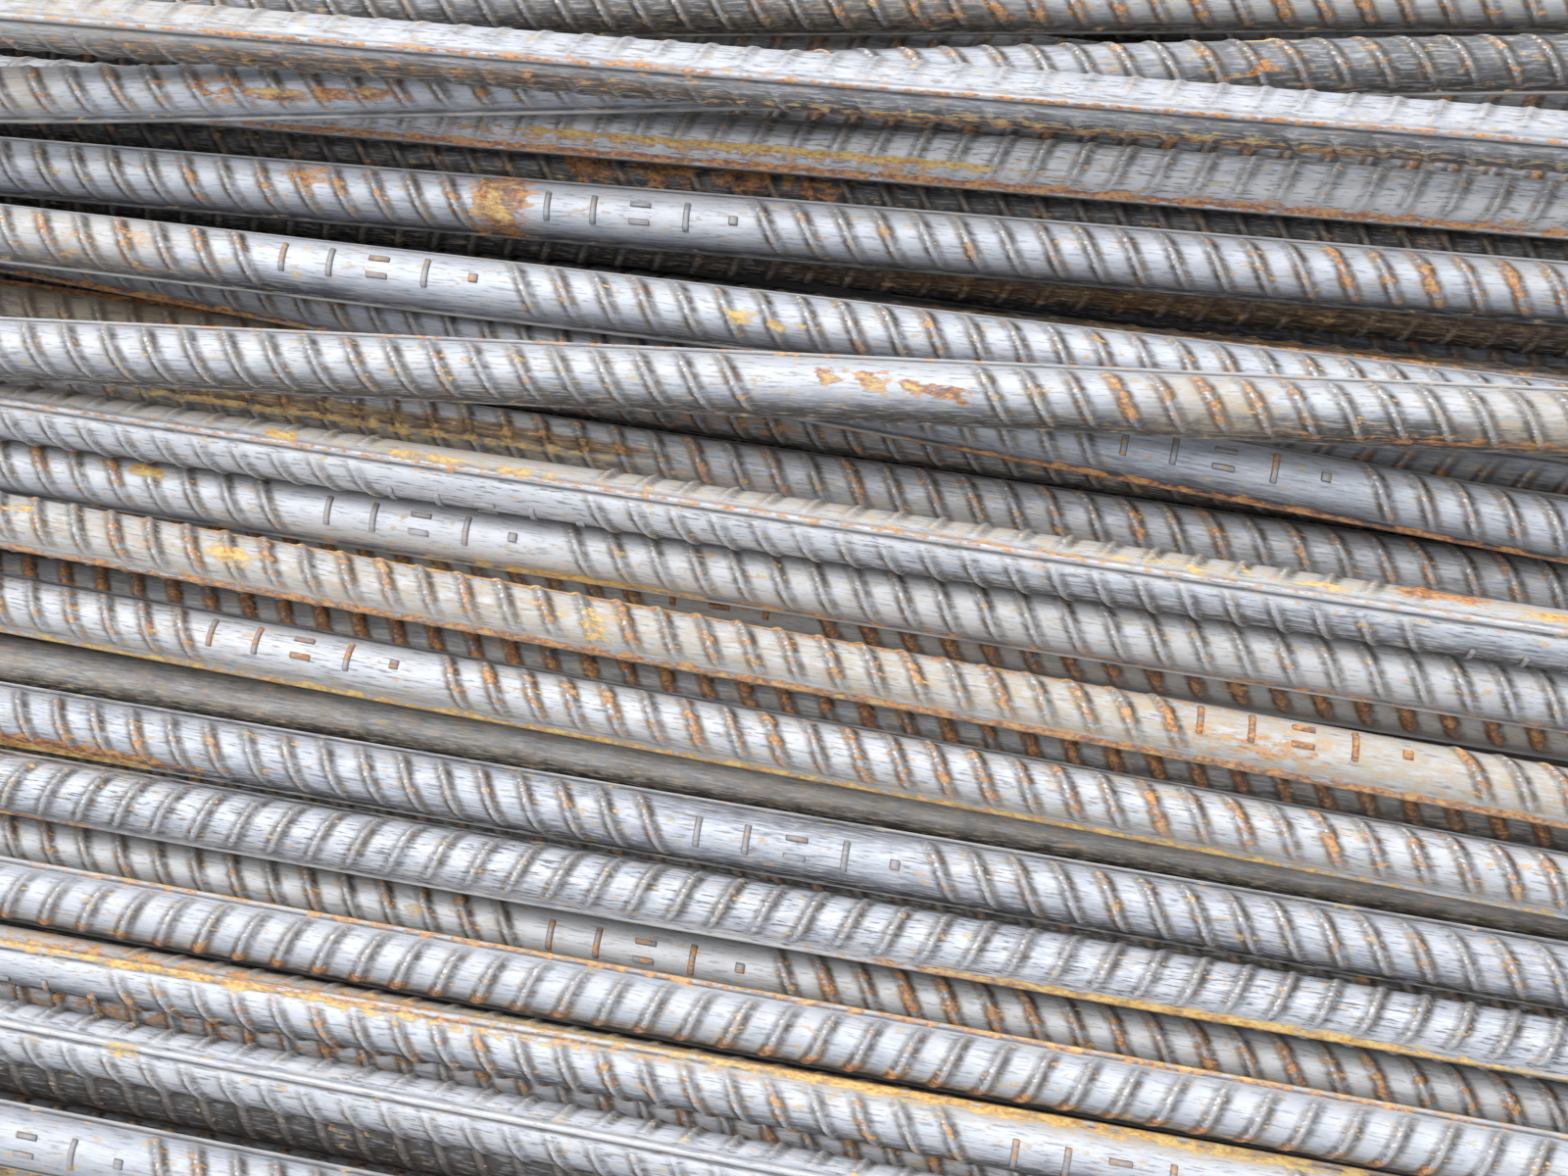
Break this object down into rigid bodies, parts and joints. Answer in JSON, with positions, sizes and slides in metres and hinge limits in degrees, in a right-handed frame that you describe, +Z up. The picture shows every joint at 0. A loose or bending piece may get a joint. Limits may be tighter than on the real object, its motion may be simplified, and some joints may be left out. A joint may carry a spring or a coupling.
{
  "type": "rebar bundle",
  "caption": "Loose bundle of ribbed steel reinforcing bars, stacked in layers on the floor, some of them crossing over the others, with mill scale and rust.",
  "frame": {"origin": "on the floor, at the middle of the bundle's length and width", "axes": "+X along the bars, +Y across the bundle, +Z up from the floor"},
  "size_m": [6.028, 0.6092, 0.1348],
  "materials": {
    "bar_steel": "hot-rolled, blue-grey mill scale with rust"
  },
  "bodies": {
    "root": {"bottom_bar_01": "bar_steel", "bottom_bar_02": "bar_steel", "bottom_bar_03": "bar_steel", "bottom_bar_04": "bar_steel", "bottom_bar_05": "bar_steel", "bottom_bar_06": "bar_steel", "bottom_bar_07": "bar_steel", "bottom_bar_08": "bar_steel", "bottom_bar_09": "bar_steel", "bottom_bar_10": "bar_steel", "bottom_bar_11": "bar_steel", "bottom_bar_12": "bar_steel", "bottom_bar_13": "bar_steel", "bottom_bar_14": "bar_steel", "bottom_bar_15": "bar_steel", "bottom_bar_16": "bar_steel", "bottom_bar_17": "bar_steel", "bottom_bar_18": "bar_steel", "bottom_bar_19": "bar_steel", "bottom_bar_20": "bar_steel", "bottom_bar_21": "bar_steel", "bottom_bar_22": "bar_steel", "bottom_bar_23": "bar_steel", "bottom_bar_24": "bar_steel", "middle_bar_01": "bar_steel", "middle_bar_02": "bar_steel", "middle_bar_03": "bar_steel", "middle_bar_04": "bar_steel", "middle_bar_05": "bar_steel", "middle_bar_06": "bar_steel", "middle_bar_07": "bar_steel", "middle_bar_08": "bar_steel", "middle_bar_09": "bar_steel", "middle_bar_10": "bar_steel", "middle_bar_11": "bar_steel", "middle_bar_12": "bar_steel", "middle_bar_13": "bar_steel", "middle_bar_14": "bar_steel", "middle_bar_15": "bar_steel", "middle_bar_16": "bar_steel", "middle_bar_17": "bar_steel", "middle_bar_18": "bar_steel", "top_bar_01": "bar_steel", "top_bar_02": "bar_steel", "top_bar_03": "bar_steel", "top_bar_04": "bar_steel", "top_bar_05": "bar_steel", "top_bar_06": "bar_steel", "top_bar_07": "bar_steel", "top_bar_08": "bar_steel", "top_bar_09": "bar_steel", "top_bar_10": "bar_steel", "top_bar_11": "bar_steel", "top_bar_12": "bar_steel", "top_bar_13": "bar_steel", "top_bar_14": "bar_steel", "top_bar_15": "bar_steel", "top_bar_16": "bar_steel", "top_bar_17": "bar_steel", "top_bar_18": "bar_steel"}
  },
  "joints": []
}
